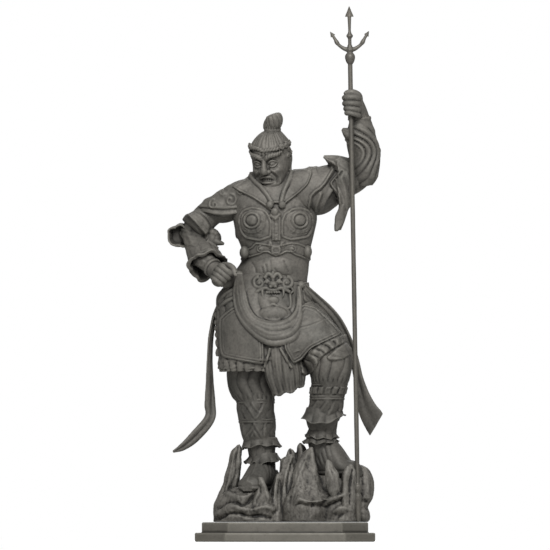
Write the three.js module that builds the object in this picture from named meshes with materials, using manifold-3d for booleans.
// A guardian king (lokapala) in armour, one fist on the hip and the other hand round a trident,
// standing on crags over a stepped plinth. Millimetres, +Z up, the figure faces -Y.
// The origin is the middle of the plinth's underside.
import * as THREE from 'three';
import { mergeVertices } from 'three/addons/utils/BufferGeometryUtils.js';
import Module from 'manifold-3d';

const wasm = await Module();
wasm.setup();

// Driving dimensions
const figureHeight = 409; // top of the plinth to the crown of the topknot
const lowerStepHeight = 9;
const upperStepHeight = 10.5;
const stepInset = 7; // how far the upper step stands back on every side
const cornerCut = 26; // the upper step's corners are cut off at 45 degrees, this far from each side
const ledge = 5.5; // bare upper step round the trident's foot
const shaftRadius = 2.3;
const shaftAboveGrip = 40; // middle of the grip to the collar under the prongs
const prongSpread = 19.5; // shaft axis to the tip of a side prong
const prongRise = 18; // fork to the tip of a side prong
const spikeRise = 43; // fork to the tip of the middle prong
const prongRadius = 1.5;
const ferruleLength = 39;
const clearance = 0.3; // between pieces that touch
const sliver = 0.3; // how far the surface may move where slivers are dropped

// The carving is measured in the carver's module: the figure is 409 of them high.
const module = figureHeight / 409;
const at = (x, y, z) => new THREE.Vector3(x, y, z).multiplyScalar(module);

const bronze = new THREE.MeshStandardMaterial({ color: 0x67645e, roughness: 0.72, metalness: 0.15 });
const stone = new THREE.MeshStandardMaterial({ color: 0x68655d, roughness: 0.85, metalness: 0.05 });
const steel = new THREE.MeshStandardMaterial({ color: 0x65655f, roughness: 0.6, metalness: 0.2 });

// Turns a closed three.js geometry, moved point by point, into a solid.
function bend(geometry, move = (p) => p, frame = null) {
  const points = geometry.attributes.position;
  const p = new THREE.Vector3();
  for (let i = 0; i < points.count; i++) {
    p.copy(move(p.fromBufferAttribute(points, i).clone()));
    if (frame) p.applyMatrix4(frame);
    points.setXYZ(i, p.x, p.y, p.z);
  }
  geometry.deleteAttribute('normal');
  geometry.deleteAttribute('uv');
  const merged = mergeVertices(geometry, 1e-3);
  const vertProperties = new Float32Array(merged.attributes.position.array);
  let triVerts = new Uint32Array(merged.index.array);
  if (signedVolume(vertProperties, triVerts) < 0) triVerts = triVerts.reverse();
  return new wasm.Manifold(new wasm.Mesh({ numProp: 3, vertProperties, triVerts }));
}

function signedVolume(vertices, triangles) {
  const corner = (i) => new THREE.Vector3().fromArray(vertices, 3 * triangles[i]);
  let volume = 0;
  for (let i = 0; i < triangles.length; i += 3) {
    volume += corner(i).dot(corner(i + 1).cross(corner(i + 2))) / 6;
  }
  return volume;
}

function join(...solids) {
  return solids.flat(3).reduce((whole, solid) => whole.add(solid));
}

// Drops the slivers that the joins leave: an edge folds into a point where the surface moves by less
// than the tolerance, stays closed and turns no face over. Only the outer skin stays, because a
// casting has no sealed pockets.
function thin(solid, tolerance) {
  const { vertProperties, triVerts } = solid.getMesh();
  const points = Array.from({ length: vertProperties.length / 3 }, (unused, i) =>
    new THREE.Vector3().fromArray(vertProperties, 3 * i));
  const faces = Array.from({ length: triVerts.length / 3 },
    (unused, i) => [...triVerts.subarray(3 * i, 3 * i + 3)]);
  const around = points.map(() => new Set());
  faces.forEach((face, i) => face.forEach((corner) => around[corner].add(i)));
  const planeOf = (a, b, c) => new THREE.Plane().setFromCoplanarPoints(a, b, c);
  const planes = points.map((unused, i) => [...around[i]].map((f) =>
    planeOf(...faces[f].map((corner) => points[corner])))
    .filter((plane) => plane.normal.lengthSq() > 0.5));
  const neighbours = (i) => new Set([...around[i]].flatMap((f) => faces[f]).filter((corner) => corner !== i));
  const error = (place, a, b) => [...planes[a], ...planes[b]].reduce(
    (worst, plane) => Math.max(worst, Math.abs(plane.distanceToPoint(place))), 0);
  const turnsOver = (place, a, b) => [...around[a], ...around[b]].some((f) => {
    if (faces[f].includes(a) && faces[f].includes(b)) return false;
    const before = planeOf(...faces[f].map((corner) => points[corner])).normal;
    const moved = faces[f].map((corner) => (corner === a || corner === b ? place : points[corner]));
    const after = planeOf(...moved).normal;
    return after.lengthSq() < 0.5 || (before.lengthSq() > 0.5 && before.dot(after) < 0.4);
  });
  let folded = true;
  while (folded) {
    folded = false;
    const settled = new Set();
    const edges = [];
    points.forEach((unused, a) => neighbours(a).forEach((b) => {
      if (a < b) edges.push([points[a].distanceTo(points[b]), a, b]);
    }));
    edges.sort((one, other) => one[0] - other[0]);
    for (const [, a, b] of edges) {
      if (settled.has(a) || settled.has(b)) continue;
      const near = neighbours(b);
      if ([...neighbours(a)].filter((corner) => near.has(corner)).length !== 2) continue;
      const places = [points[a], points[b], points[a].clone().lerp(points[b], 0.5)];
      const [best, place] = places.map((p) => [error(p, a, b), p]).sort((one, other) => one[0] - other[0])[0];
      if (best > tolerance || turnsOver(place, a, b)) continue;
      neighbours(a).forEach((corner) => settled.add(corner));
      near.forEach((corner) => settled.add(corner));
      for (const f of [...around[b]]) {
        if (faces[f].includes(a)) faces[f].forEach((corner) => around[corner].delete(f));
        else {
          faces[f] = faces[f].map((corner) => (corner === b ? a : corner));
          around[a].add(f);
        }
      }
      around[b].clear();
      points[a] = place;
      planes[a].push(...planes[b]);
      folded = true;
    }
  }
  const whole = points.map((unused, i) => i).filter((i) => around[i].size > 0);
  const skin = new Set([whole.reduce((top, i) => (points[i].z > points[top].z ? i : top))]);
  for (const i of skin) neighbours(i).forEach((corner) => skin.add(corner));
  const place = new Map([...skin].map((corner, i) => [corner, i]));
  const left = [...new Set([...skin].flatMap((i) => [...around[i]]))].map((f) =>
    faces[f].map((i) => place.get(i)));
  return new wasm.Manifold(new wasm.Mesh({
    numProp: 3,
    vertProperties: new Float32Array([...skin].flatMap((i) => points[i].toArray())),
    triVerts: new Uint32Array(left.flat()),
  }));
}

function meshOf(name, solid, material) {
  const { vertProperties, triVerts } = solid.getMesh();
  const geometry = new THREE.BufferGeometry();
  geometry.setAttribute('position', new THREE.BufferAttribute(new Float32Array(vertProperties), 3));
  geometry.setIndex(new THREE.BufferAttribute(new Uint32Array(triVerts), 1));
  geometry.computeVertexNormals();
  const mesh = new THREE.Mesh(geometry, material);
  mesh.name = name;
  return mesh;
}

const smooth = (points) => new THREE.CatmullRomCurve3(points, false, 'centripetal');

// A body through sections [x, y, z, half width, half depth] in modules. Its rings lie square to
// the line of centres, or level when `level` is set. fold(angle, t) swells or pinches a ring and
// lift(angle, t) raises it, hollow sinks the two end caps and grow adds millimetres all round.
function sweep(sections, options = {}) {
  const { sides = 10, rings = sections.length - 1, side = [1, 0, 0], level = false, fold = () => 1,
    lift = () => 0 } = options;
  const { hollow = [0, 0], grow = 0, frame = null } = options;
  const line = smooth(sections.map(([x, y, z]) => at(x, y, z)));
  const sizes = smooth(sections.map(([, , , a, b = a]) => at(a, b, 0)));
  const hint = new THREE.Vector3(...side);
  return bend(new THREE.CylinderGeometry(1, 1, 1, sides, rings), (p) => {
    const t = 0.5 - p.y;
    const reach = Math.hypot(p.x, p.z);
    const tangent = level ? new THREE.Vector3(0, 0, 1) : line.getTangent(t);
    const across = level ? new THREE.Vector3(1, 0, 0)
      : hint.clone().addScaledVector(tangent, -hint.dot(tangent)).normalize();
    const deep = level ? new THREE.Vector3(0, 1, 0) : tangent.clone().cross(across);
    const size = sizes.getPoint(t);
    const angle = Math.atan2(p.z, p.x);
    const swell = fold(angle, t);
    const point = line.getPoint(t);
    point.addScaledVector(across, (size.x * swell + grow) * p.x);
    point.addScaledVector(deep, (size.y * swell + grow) * p.z);
    if (reach < 0.5) {
      const sink = t < 0.5 ? hollow[0] * module - grow : grow - hollow[1] * module;
      point.addScaledVector(line.getTangent(t), sink);
    }
    point.z += lift(angle, t) * module;
    return point;
  }, frame);
}

// An egg: centre and three half sizes in modules, turned by Euler angles in degrees.
function blob(centre, sizes, { turn = [0, 0, 0], around = 7, high = 4, frame = null } = {}) {
  const rotation = new THREE.Euler(...turn.map(THREE.MathUtils.degToRad));
  const middle = at(...centre);
  const half = at(...sizes);
  const egg = new THREE.SphereGeometry(1, around, high);
  return bend(egg, (p) => p.multiply(half).applyEuler(rotation).add(middle), frame);
}

// A cord of one radius through points in modules.
function cord(points, radius, { sides = 5, rings = 5, frame = null } = {}) {
  return sweep(points.map((p) => [...p, radius]), { sides, rings, frame, side: [0.2, 1, 0.1] });
}

// A band of cloth through stations [x, y, z, half width, width direction].
function band(stations, thickness, { pieces = 12, ruffle = () => 0 } = {}) {
  const line = smooth(stations.map(([x, y, z]) => at(x, y, z)));
  const widths = smooth(stations.map(([, , , half]) => at(half, 0, 0)));
  const directions = smooth(stations.map(([, , , , d]) => new THREE.Vector3(...d).normalize()));
  return bend(new THREE.BoxGeometry(1, 1, 1, 2, 1, pieces), (p) => {
    const t = p.z + 0.5;
    const across = directions.getPoint(t).normalize();
    const off = line.getTangent(t).cross(across).normalize();
    const lift = p.y * thickness * module + ruffle(p.x, t) * module;
    return line.getPoint(t).addScaledVector(across, 2 * p.x * widths.getPoint(t).x)
      .addScaledVector(off, lift);
  });
}

// The y of a level sweep's front surface at x, z, all in modules.
function frontOf(sections, x, z) {
  const line = smooth(sections.map(([sx, sy, sz]) => new THREE.Vector3(sx, sy, sz)));
  const sizes = smooth(sections.map(([, , , a, b]) => new THREE.Vector3(a, b, 0)));
  const rising = sections.at(-1)[2] > sections[0][2];
  let low = 0;
  let high = 1;
  for (let i = 0; i < 20; i++) {
    const t = (low + high) / 2;
    if ((line.getPoint(t).z < z) === rising) low = t;
    else high = t;
  }
  const centre = line.getPoint(low);
  const size = sizes.getPoint(low);
  const share = Math.min(Math.abs(x - centre.x) / size.x, 0.98);
  return centre.y - size.y * Math.sqrt(1 - share * share);
}

const onFront = (sections, x, z, lift = 0) => [x, frontOf(sections, x, z) - lift, z];

// The part of a swollen body that lies behind an outline of [x, z] points in modules.
function applique(body, outline) {
  const shape = new THREE.Shape(outline.map(([x, z]) => new THREE.Vector2(x, z).multiplyScalar(module)));
  const reach = 80 * module;
  const block = new THREE.ExtrudeGeometry(shape, { depth: reach, bevelEnabled: false });
  return body.intersect(bend(block, (p) => new THREE.Vector3(p.x, -p.z, p.y)));
}

// Trunk, shoulders and armour
const trunk = [
  [-15, 2, 225, 36, 27], [-14, 2, 248, 37, 26], [-9.5, 1, 262, 34, 24], [-9, 0, 273, 34.5, 24.5],
  [-10, 0, 288, 39, 27], [-10, 0, 303, 42, 29], [-12, 1, 320, 43, 28], [-13, 2, 333, 36, 24],
  [-13, 3, 343, 25.5, 19],
  [-13.5, 3, 351, 19, 16],
];
const onTrunk = (x, z, lift) => onFront(trunk, x, z, lift);
const swollenTrunk = (lift) => sweep(trunk, { level: true, sides: 18, grow: lift * module });

function armouredTrunk() {
  const neck = sweep([[-13, 4, 336, 14], [-14.5, 0, 350, 12.5], [-14, -3, 362, 12]], { sides: 8 });
  const midriff = [[-52, 258], [-52, 270], [-26, 274], [-18, 269], [-9, 273], [0, 269], [12, 274], [34, 270],
    [34, 258], [22, 264], [4, 270], [-9, 266], [-18, 268], [-30, 262]];
  const strapMiddle = -8;
  const strapHalf = 4.2;
  const strap = [[-1, 281], [1, 281], [1, 312], [-1, 312]].map(([u, z]) => [strapMiddle + u * strapHalf, z]);
  const bosses = [[-32.5, 302], [14, 303]].map(([x, z]) => [
    blob(onTrunk(x, z, -1), [10.5, 4.2, 11], { around: 9 }), blob(onTrunk(x, z, 0), [5.5, 5.6, 6]),
  ]);
  const lowerEdge = [[-42, 283], [-30, 281.5], [-19, 284], [-12, 288], [-4, 288], [5, 283], [14, 281.5],
    [26, 285]];
  const breastRim = cord(lowerEdge.map(([x, z]) => onTrunk(x, z, 0)), 1.7, { rings: 8, sides: 4 });
  return [swollenTrunk(0), neck, applique(swollenTrunk(2.4), midriff), applique(swollenTrunk(2), strap),
    bosses, breastRim];
}

// Two broad lapels lie over the chest and end in knobs under the throat.
function collar() {
  const lapels = [
    [[-33, 350], [-60, 333], [-50, 320], [-30, 313], [-15, 309], [-12, 320], [-24, 340]],
    [[7, 352], [32, 352], [25, 336], [10, 322], [-4, 310], [-6, 320], [2, 338]],
  ].map((outline) => applique(swollenTrunk(3.6), outline));
  const rolls = [
    [[-34, 2, 349], [-33, -12, 341], onTrunk(-22, 329, 3), onTrunk(-14, 315, 3)],
    [[7.5, 2, 351], [6, -12, 342], onTrunk(-1, 329, 3), onTrunk(-4.5, 315, 3)],
  ].map((points) => cord(points, 2.2));
  const knobs = [[-15.2, 316], [-3.2, 316]].map(([x, z]) => blob(onTrunk(x, z, 3), [3.8, 3.4, 3.8]));
  const tassel = blob(onTrunk(-8.8, 309, 2), [5, 3.4, 6.5], { around: 6 });
  const stand = sweep([[-13.5, 2, 340, 25, 20], [-13.5, 1, 350, 21.5, 18.5]],
    { level: true, sides: 12, rings: 1, hollow: [0, 4] });
  return [lapels, rolls, knobs, tassel, stand];
}

// The beast on the buckle: rolled brows and curls, muzzle, open jaw and chin plate.
const apron = [[-13, 2, 252, 35, 27], [-13, 2, 240, 37, 29], [-13, 2, 222, 39, 33], [-12, 2, 196, 41, 38]];

function beastBuckle() {
  const middle = -12;
  const onApron = (points, lift) => points.map(([x, z]) => onFront(apron, middle + x, z, lift));
  const bothSides = (half) => [...half.map(([x, z]) => [-x, z]), ...half.slice(0, -1).reverse()];
  const spiral = (hand) => Array.from({ length: 6 }, (unused, i) => {
    const angle = Math.PI / 2 + hand * 0.3 * i * Math.PI;
    const radius = 6.4 - 0.7 * i;
    return [hand * 14 + radius * Math.cos(angle), 239.5 + radius * Math.sin(angle)];
  });
  const curls = [-1, 1].map((hand) => [
    cord(onApron(spiral(hand), 2), 2.1, { sides: 4, rings: 7 }),
    blob(onApron([[hand * 14, 239.5]], 1)[0], [3, 3.6, 3], { around: 6 }),
  ]);
  const brow = cord(onApron(bothSides([[8, 244], [4, 249], [0, 247]]), 2), 2.3, { sides: 4, rings: 6 });
  const muzzle = blob(onApron([[0, 238.5]], 2)[0], [6.5, 5, 5]);
  const upperLip = cord(onApron(bothSides([[17, 230.5], [8, 234], [0, 232]]), 2), 2.2,
    { sides: 4, rings: 6 });
  const jaw = cord(onApron(bothSides([[17, 231], [16, 214], [7, 215.5], [0, 218.5]]), 1.5), 2,
    { sides: 4, rings: 9 });
  const chin = blob(onApron([[0, 207]], 0)[0], [15, 4.5, 11], { around: 10 });
  return [curls, brow, muzzle, upperLip, jaw, chin];
}

// Skirts. The hem rises over the thigh of the raised leg.
const skirt = [
  [-14, 2, 249, 35, 26], [-18, 2, 237, 42, 30], [-19, 2, 226, 49, 33], [-16, 2, 213, 53.5, 36],
  [-10, 0, 195, 59.5, 40],
  [-4, -1, 175, 63.5, 42], [-5, -1, 160, 62.5, 42],
];
const raisedHem = 20;
const hemDirection = THREE.MathUtils.degToRad(-30);
const hemLift = (angle, t) => raisedHem * t ** 4 * Math.max(0, Math.cos(angle - hemDirection)) ** 2;
const onSkirt = (x, z, lift) => onFront(skirt, x, z, lift);

function skirts() {
  const plated = (lift) => sweep(skirt, { level: true, sides: 22, rings: 7, grow: lift * module,
    hollow: [0, 8], lift: hemLift });
  const folds = 11;
  const frill = sweep([[-5, -1, 166, 59, 40], [-6, -1, 151, 61.5, 42]],
    { level: true, sides: 2 * folds, rings: 1,
    hollow: [0, 6], fold: (angle, t) => 1 + 0.045 * t * Math.cos(folds * angle),
      lift: (angle) => hemLift(angle, 1) });
  const plates = [
    [[-72, 200], [-52, 214], [-44, 205], [-36, 188], [-20, 174], [-21, 157], [-70, 165]],
    [[18, 220], [41, 208], [60, 187], [35, 177], [12, 158], [-1, 175], [12, 186], [18, 200]],
  ].map((outline) => applique(plated(2.8), outline));
  return [plated(0), frill, plates];
}

function frontCloth() {
  const pleats = 6;
  return sweep([[-2, -20, 190, 24, 20], [0, -22, 165, 20, 18], [2, -21, 145, 19, 15],
    [3.5, -20, 131, 15.5, 12]],
    { level: true, sides: 3 * pleats, rings: 3, hollow: [0, 3],
      lift: (angle, t) => 5 * t ** 3 * Math.cos(angle),
      fold: (angle, t) => 1 + 0.08 * t * Math.cos(pleats * angle) });
}

// The sash hangs in a deep loop of rolls from hip to hip.
function sash() {
  const rolls = 4;
  return Array.from({ length: rolls }, (unused, i) => {
    const out = i / (rolls - 1);
    const left = -38 - 9 * out;
    const right = 13 + 5 * out;
    const points = [
      [left + 1, 244], [left, 222], [left + 9 + 3 * out, 205 - 9 * out], [-13 + 3 * out, 199 - 20 * out],
      [right - 10, 206 - 9 * out], [right, 222 - 4 * out], [right, 237],
    ];
    return cord(points.map(([x, z]) => onSkirt(x, z, 2.5 - out)), 4.2, { sides: 4, rings: 8 });
  });
}

// Legs: trousers gathered into greaves, which are tied with bands and flare over the boots
function leg({ sections, flares, bands }, grow = 0) {
  const gathers = 5;
  const bandHeight = 3;
  return [
    sweep(sections, { rings: 10, grow, fold: (angle, t) => 1 + 0.03 * Math.cos(gathers * angle + 9 * t) }),
    bands.map(([x, y, z, radius]) => sweep([[x, y, z + bandHeight / 2, radius],
      [x, y, z - bandHeight / 2, radius]], { grow })),
    flares.map(([x, y, z, inner, outer, drop]) => sweep([[x, y, z + drop, inner], [x, y, z, outer]],
      { sides: 9, hollow: [0, 4], grow, fold: (angle, t) => 1 + 0.1 * t * Math.cos(3 * angle + x) })),
  ];
}

const rightLeg = {
  sections: [[-27, 4, 196, 25], [-34, 2, 160, 25], [-34.5, 1, 140, 23.5], [-29.5, 0, 123, 19],
    [-29.5, 0, 112, 19],
    [-28, 1, 101, 18.5], [-27, 1, 90, 17.5], [-24, 2, 76, 14], [-22.5, 2, 62, 12.5], [-21, 2, 44, 12]],
  flares: [[-23.5, 2, 74, 16.5, 18.5, 10], [-21, 2, 58, 13, 18.5, 9]],
  bands: [[-29.5, 0.5, 121, 20.5], [-27.6, 1, 103, 20]],
};

const leftLeg = {
  sections: [[14, -2, 196, 30], [35, -18, 176, 25], [44, -24, 160, 23], [45, -22, 145, 20.5],
    [43.5, -20, 138, 19.5],
    [41, -18, 126, 18.5], [40.5, -15, 116, 18], [37, -12, 104, 16.5], [37.5, -9, 94, 14], [37, -8, 80, 13.5],
    [40, -8, 62, 12.5]],
  flares: [[38, -12, 102, 17, 22, 11], [36, -8, 80, 13, 18, 8]],
  bands: [[43.5, -20, 139, 21], [41.5, -18, 127, 20]],
};

// A soft boot from heel to toe, flat underneath. Its own frame has z along the foot and y up.
function boot({ heel, turn, sole, instep }, grow = 0) {
  const yaw = THREE.MathUtils.degToRad(turn);
  const along = new THREE.Vector3(Math.sin(yaw), -Math.cos(yaw), 0);
  const up = new THREE.Vector3(0, 0, 1);
  const frame = new THREE.Matrix4().makeBasis(up.clone().cross(along), up, along)
    .setPosition(at(...heel, sole));
  const end = grow / module;
  const section = (distance, half, top) => [0, top / 2, distance, half, 0.62 * top];
  const last = sweep([
    section(-9 - end, 6, 16), section(-4, 11, instep), section(8, 12, 1.04 * instep),
      section(22, 11.5, 0.8 * instep),
    section(34, 13, 15), section(42, 11.5, 13), section(47 + end, 6, 9),
  ], { level: true, frame, grow });
  const blockHeight = 60 * module;
  const ground = new THREE.BoxGeometry(blockHeight, blockHeight, 140 * module);
  return last.subtract(bend(ground, (p) => p.setY(p.y - blockHeight / 2 - grow), frame));
}

const rightBoot = { heel: [-20, 4], turn: -18, sole: 31, instep: 28 };
const leftBoot = { heel: [34, -5], turn: 60, sole: 46, instep: 34 };

// What stands in the rocks, grown by a clearance where it cuts its own bed.
const feet = (grow = 0) => join(leg(rightLeg, grow), leg(leftLeg, grow), boot(rightBoot, grow),
  boot(leftBoot, grow));

// Arms
const gripPoint = at(65.7, -30, 420);
const buttPoint = at(73, -38, 0);
const shaftAxisAt = (z) => gripPoint.clone().lerp(buttPoint, (gripPoint.z - z) / (gripPoint.z - buttPoint.z));

// Four fingers curl once round the shaft, and the thumb closes over them.
function grippingHand() {
  const fingers = 4;
  const fingerRadius = 3.2;
  const spacing = 5.4;
  const reach = shaftRadius / module + fingerRadius;
  const grip = gripPoint.clone().divideScalar(module);
  const curl = (z) => Array.from({ length: 6 }, (unused, i) => {
    const angle = THREE.MathUtils.degToRad(25 - 50 * i);
    const centre = shaftAxisAt(z * module).divideScalar(module);
    return [centre.x + reach * Math.cos(angle), centre.y + reach * Math.sin(angle), z];
  });
  const closed = Array.from({ length: fingers }, (unused, i) =>
    cord(curl(grip.z + spacing * (1.5 - i)), fingerRadius - 0.15 * i));
  const thumb = cord([[grip.x + 6, grip.y + 6, grip.z + 2], [grip.x, grip.y + 6.5, grip.z + 8],
    [grip.x - 6, grip.y + 1, grip.z + 7]], 3.2, { rings: 3 });
  const palm = sweep([[74, -18, 402, 8.5, 7], [71.5, -22, 412, 9, 7.5], [69, -25, 421, 7.5, 7.5],
    [66.5, -27, 430, 5.5, 6]],
    { sides: 8 });
  return [closed, thumb, palm];
}

function raisedArm() {
  const upper = sweep([[-10, 3, 332, 17, 17], [8, 3, 332, 23, 21], [28, 0, 333, 25, 24.5],
    [40, -2, 334, 22.5, 23],
    [50, -4, 338, 19, 19.5], [64, -6, 343, 15.5, 16], [77, -6, 350, 12.5, 13]],
  { side: [0, 1, 0], fold: (angle, t) => 1 + 0.04 * Math.cos(4 * angle + 12 * t) });
  const elbowBag = blob([77.5, -6, 356], [16.5, 15, 16], { around: 9, high: 5 });
  const swirl = 3;
  const forearm = sweep([[79, -7, 344, 14, 14], [79.5, -10, 362, 15.5, 15], [77.5, -13, 378, 15.5, 14],
    [75.5, -16, 393, 13, 11], [74, -18, 407, 10, 9]],
  { rings: 8, fold: (angle, t) => 1 + 0.05 * Math.cos(swirl * angle + 14 * t) });
  const cuffTip = sweep([[72, -16, 385, 9], [63, -18, 389, 6], [57, -18, 393, 1.5]],
    { sides: 5, side: [0, 1, 0] });
  return [upper, elbowBag, forearm, cuffTip, hangingSleeve(), grippingHand()];
}

// The short over-sleeve of the raised arm flares to a point and trails a tail below.
function hangingSleeve() {
  const flare = sweep([[64, -6, 345, 16, 14], [56, -7, 345, 20, 18], [47, -8, 346, 21, 20]],
    { side: [0, 1, 0], hollow: [0, 5], fold: (angle, t) => 1 + 0.1 * t * Math.cos(3 * angle - 1) });
  const point = sweep([[62, -12, 355, 10, 6], [52, -14, 361, 6, 4], [38.5, -14, 365.5, 1.5, 1.5]],
    { sides: 5, side: [0, 0, 1] });
  const tail = band([
    [58, -22, 345, 9, [1, 0.2, 0.3]], [61, -22, 325, 8.5, [1, 0.3, 0.4]],
    [58.5, -18, 309, 6.5, [1, 0.3, 0.3]],
    [55.5, -16, 300, 6, [1, 0.2, 0.25]], [53, -16, 291, 3, [1, 0.2, 0.1]],
  ], 4, { pieces: 6, ruffle: (across, t) => 2 * Math.cos(7 * across) * t });
  return [flare, point, tail];
}

function restingArm() {
  const upper = sweep([[-26, 4, 330, 15, 15], [-44, 4, 325, 16, 16], [-60, 6, 320, 13, 13],
    [-74, 8, 312, 12, 12],
    [-88, 14, 298, 12.5, 12.5], [-96, 20, 284, 12, 12]], { side: [0, 1, 0] });
  const shoulderFlap = sweep([[-33, 3, 342, 12, 14], [-38, 3, 335, 21, 18], [-45, 4, 327, 28, 18],
    [-52, 6, 318, 33, 17.5],
    [-54, 6, 311, 31, 17], [-58, 6, 307, 20, 14]], { level: true, sides: 12 });
  const overSleeve = sweep([[-64, 8, 313, 12, 11], [-78, 8, 305, 14, 13], [-86, 7, 295, 17, 16]],
    { sides: 12, side: [0, 1, 0], hollow: [0, 6],
      fold: (angle, t) => 1 + 0.14 * t * Math.cos(3 * angle + 1) });
  const billows = [
    blob([-106, 22, 286], [11, 10, 12]), blob([-73, 4, 284], [9, 8, 9]),
    sweep([[-72, 2, 282, 6], [-61, 0, 278, 1.5]], { sides: 5, side: [0, 1, 0] }),
  ];
  const forearm = sweep([[-92, 20, 296, 12], [-89, 14, 284, 13], [-82, 4, 268, 15], [-74, -10, 254, 11.5],
    [-68, -18, 250, 8.5]]);
  const bracer = sweep([[-85, 10, 276, 14.5, 14], [-80, 0, 264, 17.5, 16], [-77, -8, 256, 20.5, 19]],
    { sides: 12, hollow: [0, 9] });
  return [upper, shoulderFlap, overSleeve, billows, forearm, bracer, hipFist()];
}

// A tight fist on the hip sash: four fingers lie side by side, slanting down, and the thumb closes them.
function hipFist() {
  const [x, y, z] = [-62.5, -24, 246.5];
  const slant = THREE.MathUtils.degToRad(-38);
  const place = (along, out, up) => [
    x + along * Math.cos(slant) - up * Math.sin(slant), y - out,
      z + along * Math.sin(slant) + up * Math.cos(slant)];
  const fingers = 4;
  const spacing = 4.9;
  const bent = Array.from({ length: fingers }, (unused, i) => {
    const up = spacing * ((fingers - 1) / 2 - i);
    const shrink = 0.6 * Math.abs(i - 1);
    return cord([place(-8 + shrink, 1, up), place(-6.5 + shrink, 8, up), place(1, 10.5, up),
      place(7.5 - shrink, 8, up),
      place(7.5 - shrink, 1, up)], 2.9 - 0.1 * i, { rings: 5 });
  });
  const palm = blob(place(-1, 0, 0), [10, 9, 10.5], { turn: [0, 38, 0], around: 8, high: 5 });
  const thumb = cord([place(-6, -4, 10), place(2, 5, 11), place(8.5, 10, 6.5)], 3.2, { rings: 3 });
  return [palm, bent, thumb];
}

// The head turns to its right and bows a little. Its own frame has the face towards -Y.
const headFrame = new THREE.Matrix4().compose(
  at(-13, -5, 362),
  new THREE.Quaternion().setFromEuler(new THREE.Euler(...[12, -2, -20].map(THREE.MathUtils.degToRad), 'ZXY')),
  new THREE.Vector3(1, 1, 1));

function head() {
  const frame = headFrame;
  const skull = sweep([[0, 0, -27, 5, 5], [0, -4, -25, 11, 11], [0, -3, -17, 16, 16.5], [0, -1, -6, 18.5, 20],
    [0, 0, 6, 19.5, 22], [0, 1, 16, 19, 20.5], [0, 1, 25, 13, 14], [0, 1, 29, 4, 5]],
  { level: true, sides: 14, frame });
  const bothSides = (make) => [make(-1), make(1)];
  const eggs = (centre, sizes) => bothSides((s) => blob([s * centre[0], centre[1], centre[2]], sizes,
    { around: 6, frame }));
  const eyes = eggs([7.5, -19, 1], [3.6, 3, 2.8]);
  const cheeks = eggs([10, -15.5, -6.5], [5.6, 5, 4.8]);
  const ears = eggs([18, 2, -3], [2.6, 4.4, 7.5]);
  const sideCurls = eggs([19.5, -2, 12], [4, 5, 6]);
  const brows = bothSides((s) => cord([[s * 3, -22, 5], [s * 8, -21, 8.5], [s * 14.5, -15, 6.5]], 2.4,
    { sides: 4, rings: 2, frame }));
  const nose = sweep([[0, -20.5, 5, 2.4, 2.2], [0, -23, -2, 3, 3.4], [0, -24.5, -7, 5.6, 4.2],
    [0, -20.5, -9.5, 4.5, 2]],
    { sides: 6, frame });
  const lips = [[-12, 0.5, 1.8], [-17.5, -2.5, 2]].map(([z, droop, radius]) => cord(
    [[-8, -15.5, z - droop], [0, -21.5, z + 0.5], [8, -15.5, z - droop]], radius,
      { sides: 4, rings: 3, frame }));
  const chin = blob([0, -17.5, -23], [6.5, 4.5, 4], { frame });
  const hairBand = cord([[-20, 1, 10], [-15.5, -13, 12], [0, -21, 14], [15.5, -13, 12], [20, 1, 10]], 2.4,
    { sides: 4, rings: 7, frame });
  const stem = sweep([[2, 2, 25, 9.5], [3, 3, 31, 7], [4, 3, 37, 7]], { sides: 8, frame });
  const bun = blob([5, 3, 39.5], [7.6, 8, 8], { turn: [0, 10, 0], around: 9, high: 5, frame });
  const lobe = blob([-3.5, 2, 35], [4.4, 4.5, 4], { frame });
  const mouth = blob([0, -20, -14.5], [5.2, 4, 2], { around: 6, frame });
  return join(skull, eyes, cheeks, ears, sideCurls, brows, nose, lips, chin, hairBand, stem, bun, lobe)
    .subtract(mouth);
}

// Scarf ends fall from the hips on both sides and blow outward at the tips.
function scarves() {
  const right = band([
    [-58, 10, 228, 3.5, [0.3, 1, 0]], [-69, 12, 213, 5, [0.3, 1, 0]], [-75, 13, 190, 5.5, [0.3, 1, 0]],
    [-77, 13, 165, 5.5, [0.35, 1, 0]], [-76, 12, 140, 6, [0.6, 1, 0]], [-75, 9, 118, 6, [1, 0.6, 0]],
    [-75, 6, 105, 5.5, [1, 0, -0.5]], [-89.5, -1, 86.5, 6, [0.6, 0.3, -1]], [-103, -5, 75, 4, [0.5, 0.4, -1]],
    [-112, -7, 70.5, 1.2, [0.4, 0.4, -1]],
  ], 2.6, { pieces: 13 });
  const left = band([
    [18, 6, 236, 4, [1, 0, 1]], [33, 8, 219, 4.5, [1, -0.2, 1]], [50, 8, 201, 5, [1, -0.2, 0.6]],
    [62, 6, 182, 5, [1, -0.3, 0.4]], [67.5, 5, 163, 4.5, [1, -0.3, 0.3]], [73, 5, 146, 5, [1, -0.3, 0.2]],
    [77, 4, 130, 7, [1, -0.4, 0.2]], [82, 2, 114.5, 10, [0.95, -0.4, 0.35]],
    [90.5, 1, 98.5, 12.6, [0.5, -0.3, 0.86]],
  ], 2.8);
  return [right, left];
}

function figure() {
  const carved = join(armouredTrunk(), collar(), skirts(), frontCloth(), sash(), beastBuckle(), raisedArm(),
    restingArm(),
    head(), scarves());
  return thin(carved, sliver).add(feet()).subtract(shaft(clearance)).subtract(ferrule(clearance));
}

// Trident
const shaftLength = gripPoint.distanceTo(buttPoint);
const shaftDirection = gripPoint.clone().sub(buttPoint).normalize();
const shaftTurn = new THREE.Quaternion().setFromUnitVectors(new THREE.Vector3(0, 0, 1), shaftDirection);
const unscaled = new THREE.Vector3(1, 1, 1);
const shaftFrame = (distance) => new THREE.Matrix4().compose(
  gripPoint.clone().addScaledVector(shaftDirection, distance), shaftTurn, unscaled);

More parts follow.
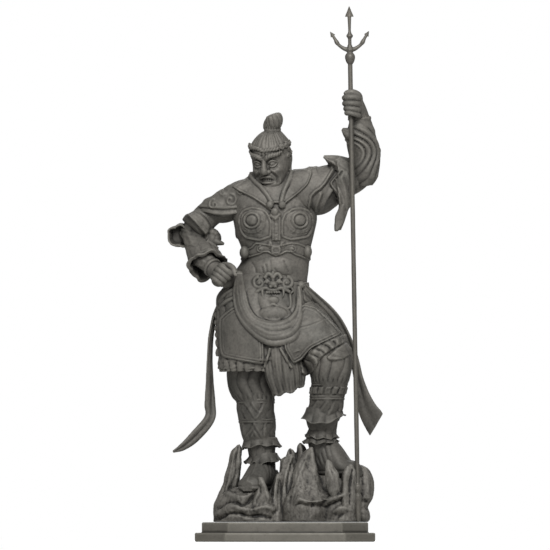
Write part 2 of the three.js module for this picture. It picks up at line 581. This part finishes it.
function turned(profile, frame, segments = 8) {
  const lathe = new THREE.LatheGeometry(profile.map(([r, z]) => new THREE.Vector2(r, z)), segments);
  return bend(lathe, (p) => new THREE.Vector3(p.x, -p.z, p.y), frame);
}

function shaft(grow = 0) {
  const bottom = clearance - shaftLength - 2 * grow;
  const radius = shaftRadius + grow;
  return turned([[0, bottom], [radius, bottom], [radius, shaftAboveGrip], [0, shaftAboveGrip]],
    shaftFrame(0));
}

// Ferrule with two rings at the foot of the shaft.
const ferruleSwell = 1.95; // its widest ring, in shaft radii

function ferrule(grow = 0) {
  const bottom = clearance - shaftLength - 2 * grow;
  const profile = [[0, 0], [1.1, 0], [1.45, 0.5], [1.7, 0.62], [1.7, 0.67], [1.3, 0.72], [ferruleSwell, 0.85],
    [ferruleSwell, 0.92], [1, 1]].map(([swell, share], i) =>
      [swell * shaftRadius + (i ? grow : 0), bottom + share * ferruleLength]);
  return turned([...profile, [0, bottom + ferruleLength]], shaftFrame(0));
}

function arrowHead(tail, direction, length, halfWidth) {
  const thickness = 2 * prongRadius;
  const outline = [[0, length], [halfWidth, 0], [-halfWidth, 0]];
  const shape = new THREE.Shape(outline.map(([x, y]) => new THREE.Vector2(x, y)));
  const blade = new THREE.ExtrudeGeometry(shape, { depth: thickness, bevelEnabled: false });
  const turn = new THREE.Quaternion().setFromUnitVectors(new THREE.Vector3(0, 0, 1), direction);
  return bend(blade, (p) => new THREE.Vector3(p.x, p.z - thickness / 2, p.y),
    new THREE.Matrix4().compose(tail, turn, unscaled));
}

function trident() {
  const frame = shaftFrame(shaftAboveGrip);
  const lathed = (profile) => turned(profile.map(([r, z]) => [r * shaftRadius, z * shaftRadius]), frame);
  const socket = lathed([[0, -0.9], [1.2, -0.9], [2, 0.9], [2, 3], [1.3, 3.9], [1.7, 5.2], [1, 7], [0, 7]]);
  const fork = 5.6 * shaftRadius;
  const spikeLength = 0.245 * spikeRise;
  const spikeBase = fork + spikeRise - spikeLength;
  const knob = fork + 0.3 * spikeRise;
  const rod = turned([[0, fork], [1.4, fork], [1.2, knob - 2 * prongRadius], [2, knob],
    [1.1, knob + 2 * prongRadius],
    [1, spikeBase + prongRadius], [0, spikeBase + prongRadius]].map(([r, z]) => [r * prongRadius, z]), frame);
  const place = (x, z) => new THREE.Vector3(x, 0, z).applyMatrix4(frame);
  const spike = arrowHead(place(0, spikeBase), shaftDirection, spikeLength, 0.42 * spikeLength);
  const barbLength = 0.3 * prongRise;
  const prongs = [-1, 1].map((s) => {
    const line = smooth([[0, -0.1], [0.3, 0.02], [0.54, 0.2], [0.76, 0.56], [0.88, 0.77]]
      .map(([x, z]) => place(s * x * prongSpread, fork + z * prongRise)));
    const depth = new THREE.Vector3(0, 1, 0);
    const prong = bend(new THREE.CylinderGeometry(1, 1, 1, 6, 7), (p) => {
      const t = 0.5 - p.y;
      const radius = prongRadius * (1.5 - 0.6 * t);
      const across = depth.clone().cross(line.getTangent(t));
      return line.getPoint(t).addScaledVector(depth, p.z * radius).addScaledVector(across, p.x * radius);
    });
    return [prong, arrowHead(line.getPoint(0.98), line.getTangent(1), barbLength, barbLength / 2)];
  });
  return join(shaft(), ferrule(), socket, rod, spike, prongs);
}

// Plinth, cast in one with its two steps, rectangular with the corners cut off. Its width and depth keep
// the trident's foot a ledge away from the side and from the cut corner.
const footing = ferruleSwell * shaftRadius + ledge;
const upperHalfWidth = buttPoint.x + footing;
const upperHalfDepth = buttPoint.x - buttPoint.y + footing * Math.SQRT2 + cornerCut - upperHalfWidth;
const upperStep = { width: 2 * upperHalfWidth, depth: 2 * upperHalfDepth };

function plinth() {
  const step = (outset, height) => {
    const x = upperHalfWidth + outset;
    const y = upperHalfDepth + outset;
    const cut = cornerCut + (2 - Math.SQRT2) * outset;
    const corners = [[1, 1], [-1, 1], [-1, -1], [1, -1]].flatMap(([sx, sy]) => {
      const ends = [[sx * x, sy * (y - cut)], [sx * (x - cut), sy * y]];
      return sx === sy ? ends : ends.reverse();
    });
    const outline = new THREE.Shape(corners.map(([cx, cy]) => new THREE.Vector2(cx, cy)));
    return bend(new THREE.ExtrudeGeometry(outline, { depth: height, bevelEnabled: false }));
  };
  return join(step(stepInset, lowerStepHeight), step(0, lowerStepHeight + upperStepHeight));
}

// Rocks
const foot = clearance / module;

function crag(sections, seed, { sides = 9, rings = 5, rough = 0.13 } = {}) {
  const facets = (angle, t) =>
    1 + rough * (Math.sin(2 * angle + seed) + 0.7 * Math.sin(3 * angle + 5 * t + 2 * seed)
    + 0.5 * Math.sin(5 * angle - 4 * t + 3 * seed));
  return sweep(sections, { level: true, sides, rings, fold: facets });
}

function rocks() {
  const base = new THREE.BoxGeometry(upperStep.width, upperStep.depth, clearance);
  const crags = [
    crag([[-60, 4, foot, 9, 14], [-58, 4, 20, 8.5, 13], [-52, 2, 44, 6.5, 8], [-49.5, 0, 62, 4.8, 6],
      [-48, 0, 78, 2, 3]], 1.3),
    crag([[-44, -14, foot, 26, 34], [-44, -14, 12, 26, 33], [-42, -12, 24, 23, 30], [-38, -8, 34, 19, 26]],
      2.1, { sides: 12 }),
    crag([[-18, 14, foot, 22, 26], [-18, 12, 20, 20, 24], [-14, 12, 40, 12, 16], [-12, 12, 52, 5, 7]], 4.4,
      { sides: 10 }),
    crag([[18, -24, foot, 34, 26], [19, -24, 22, 30, 22], [23, -22, 40, 16, 17], [27, -20, 58, 10, 12],
      [29, -18, 73, 3, 4]],
      0.6, { sides: 12, rings: 7 }),
    crag([[2, -26, foot, 10, 14], [3, -26, 26, 8, 11], [4, -22, 48, 7, 8], [3.5, -18, 64, 4, 4]], 3.2),
    crag([[-9, -30, foot, 7, 10], [-8, -28, 26, 6, 8], [-7, -24, 48, 3.5, 4]], 5.1),
    crag([[46, -8, foot, 34, 38], [46, -8, 20, 32, 36], [46, -8, 36, 28, 30], [46, -8, 47, 22, 24]], 2.7,
      { sides: 12 }),
    crag([[75, -6, foot, 11, 24], [77, -6, 22, 10, 24], [77, -6, 42, 10, 20], [73, -4, 56, 6, 12]], 1.9,
      { sides: 10 }),
    crag([[62, -28, foot, 12, 14], [63, -28, 20, 10, 12], [65, -26, 42, 6, 8], [67, -24, 55, 4, 5]], 0.2),
    crag([[46, -42, foot, 9, 8], [46, -40, 30, 6.5, 6], [47, -38, 50, 5.5, 5], [46, -37, 63, 3, 3]], 4.0),
    crag([[3, 6, foot, 9, 9], [5, 4, 40, 6, 6], [5, 2, 73, 1.5, 2]], 0.9),
    crag([[12, 10, foot, 22, 26], [12, 8, 30, 18, 20], [13, 4, 56, 9, 10], [16, 2, 78.5, 1.5, 2]], 3.7,
      { sides: 10 }),
  ];
  return thin(join(crags), sliver).subtract(join(feet(clearance), shaft(clearance), ferrule(clearance),
    bend(base)));
}

const statue = new THREE.Group();
const carved = new THREE.Group();
carved.add(meshOf('figure', figure(), bronze));
carved.add(meshOf('trident', trident(), steel));
carved.add(meshOf('rocks', rocks(), stone));
carved.position.z = lowerStepHeight + upperStepHeight;
statue.add(meshOf('plinth', plinth(), stone));
statue.add(carved);

export default statue;
